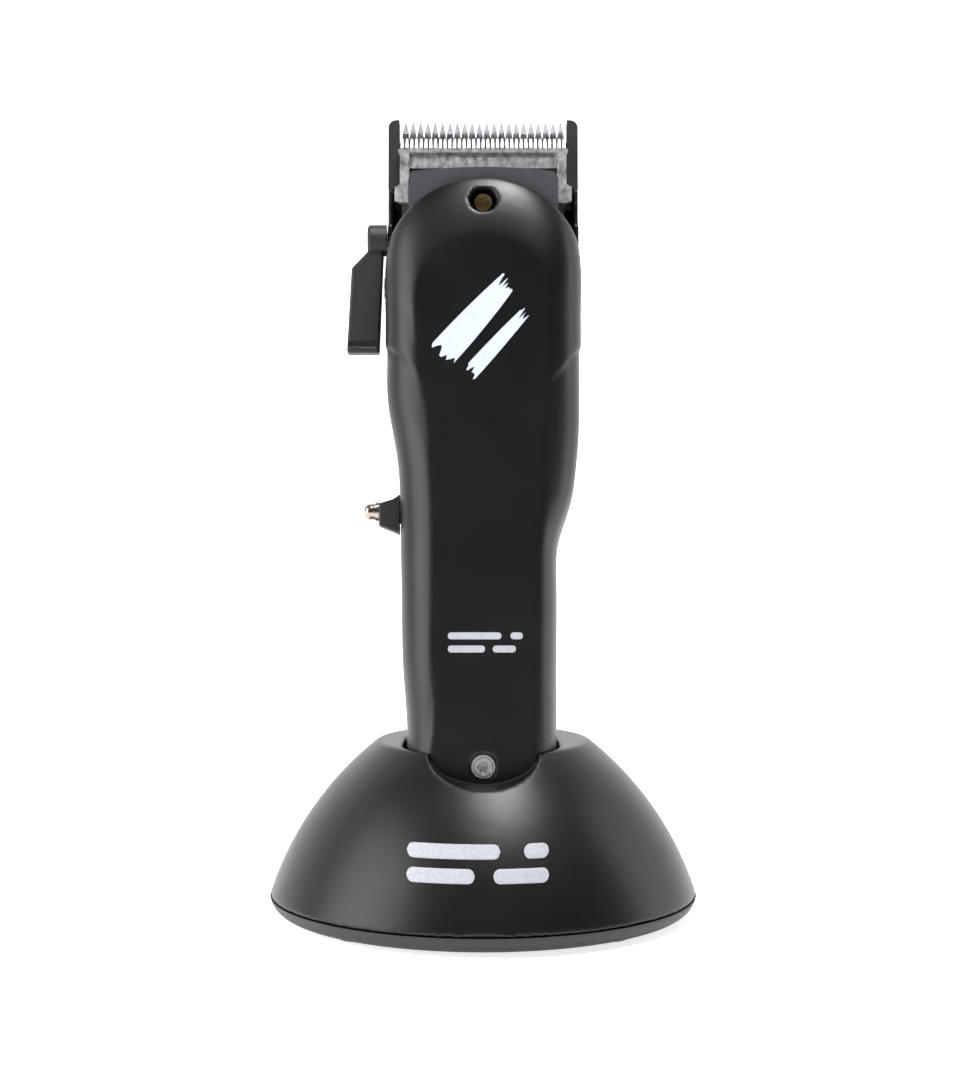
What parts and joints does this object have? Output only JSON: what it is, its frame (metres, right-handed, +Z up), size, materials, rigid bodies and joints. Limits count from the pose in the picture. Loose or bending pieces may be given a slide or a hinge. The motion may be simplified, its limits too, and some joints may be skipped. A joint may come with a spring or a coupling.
{
  "type": "hair clipper",
  "caption": "Cordless hair clipper with a taper lever and a slide-on blade guard, leaning back in a domed charging stand with a thumb scoop.",
  "frame": {"origin": "centre of the round base, on the plane of the feet", "axes": "+Z up, -Y out of the front with the thumb scoop, +X to the right seen from the front"},
  "size_m": [0.107, 0.107, 0.2001],
  "materials": {
    "satin_black": "satin soft-touch paint",
    "matte_black": "fine moulded grain",
    "grey_plastic": "moulded",
    "chrome": "polished",
    "steel": "machined",
    "blade_steel": "ground",
    "bronze": "dark plated",
    "brass": "turned",
    "rubber": "moulded",
    "cell_wrap": "shrink sleeve",
    "board_green": "solder mask"
  },
  "bodies": {
    "stand": {"stand_shell": "satin_black", "stand_well": "matte_black", "stand_base_plate": "matte_black", "stand_feet": "rubber", "stand_screws": "steel", "stand_weight": "steel", "stand_circuit_board": "board_green", "stand_inlet_socket": "grey_plastic"},
    "charging_pins": {"charging_pins": "brass"},
    "clipper": {"lid": "satin_black", "rear_housing": "satin_black", "nose_block": "grey_plastic", "lid_screw_top": "bronze", "lid_screw_bottom": "steel", "lid_screw_ring": "steel", "threaded_inserts": "brass", "tension_spring": "steel", "lever_stop_pin": "steel", "motor_can": "steel", "motor_end_cap": "grey_plastic", "motor_mount": "grey_plastic", "switch_body": "grey_plastic", "battery_cell": "cell_wrap", "battery_tabs": "steel", "circuit_board": "board_green", "charging_contacts": "brass"},
    "rotor": {"motor_shaft": "steel", "eccentric": "brass", "eccentric_pin": "steel"},
    "cutter": {"cutter_blade": "blade_steel", "drive_fork": "grey_plastic"},
    "taper": {"still_blade": "blade_steel", "blade_guide": "steel", "blade_carrier": "steel", "blade_screws": "steel"},
    "lever": {"taper_lever": "matte_black", "lever_shaft": "steel"},
    "switch": {"switch_slider": "matte_black", "switch_ring": "chrome", "switch_knob": "chrome"},
    "guard": {"blade_guard": "matte_black"}
  },
  "joints": [
    {"name": "lift_out", "type": "slide", "parent": "stand", "child": "clipper", "axis": [0, 0.1392, 0.9903], "range_m": [0, 0.06]},
    {"name": "charge_pins", "type": "slide", "parent": "stand", "child": "charging_pins", "axis": [0, 0.1392, 0.9903], "range_m": [-0.0008, 0], "stiffness_N_per_m": 150, "springref_m": 0.0006},
    {"name": "motor_spin", "type": "hinge", "parent": "clipper", "child": "rotor", "pos_m": [0, 0.0083, 0.13629], "axis": [0, 0.1392, 0.9903], "continuous": true},
    {"name": "cutter_stroke", "type": "slide", "parent": "clipper", "child": "cutter", "axis": [1, 0, 0], "range_m": [-0.001, 0.001]},
    {"name": "taper_lever", "type": "hinge", "parent": "clipper", "child": "lever", "pos_m": [-0.026, 0.01523, 0.16905], "axis": [-1, 0, 0], "range_deg": [0, 40]},
    {"name": "taper_slide", "type": "slide", "parent": "clipper", "child": "taper", "axis": [0, 0.1392, 0.9903], "range_m": [-0.0026, 0]},
    {"name": "power_switch", "type": "slide", "parent": "clipper", "child": "switch", "axis": [0, 0.1392, 0.9903], "range_m": [0, 0.005]},
    {"name": "guard_off", "type": "slide", "parent": "clipper", "child": "guard", "axis": [0, 0.1392, 0.9903], "range_m": [0, 0.03]}
  ],
  "couplings": [
    {"joint": "taper_lever", "follows": "taper_slide", "rad_per_m": -268.51}
  ]
}
